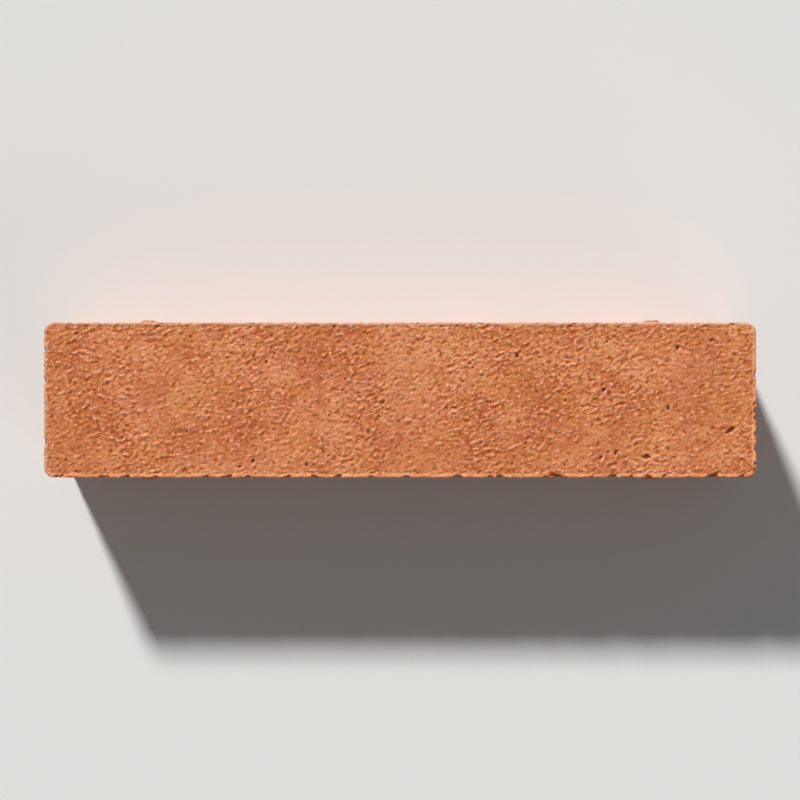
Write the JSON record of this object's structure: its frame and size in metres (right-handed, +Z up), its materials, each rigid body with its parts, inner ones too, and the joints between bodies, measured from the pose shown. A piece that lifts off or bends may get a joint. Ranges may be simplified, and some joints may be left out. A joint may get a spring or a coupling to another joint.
{
  "type": "concrete paving stone",
  "caption": "Long narrow pressed-concrete paving stone with a fine-grained, soft-edged wearing face and low spacer ribs down its sides, for laying in rows with narrow joints.",
  "frame": {"origin": "middle of the underside, on the bedding", "axes": "+X along the stone, +Y across it, +Z up to the wearing face"},
  "size_m": [0.45, 0.1024, 0.08],
  "materials": {
    "terracotta_concrete": "matt, fine-grained pressed concrete, coloured terracotta right through"
  },
  "bodies": {
    "root": {"paving_stone": "terracotta_concrete"}
  },
  "joints": []
}
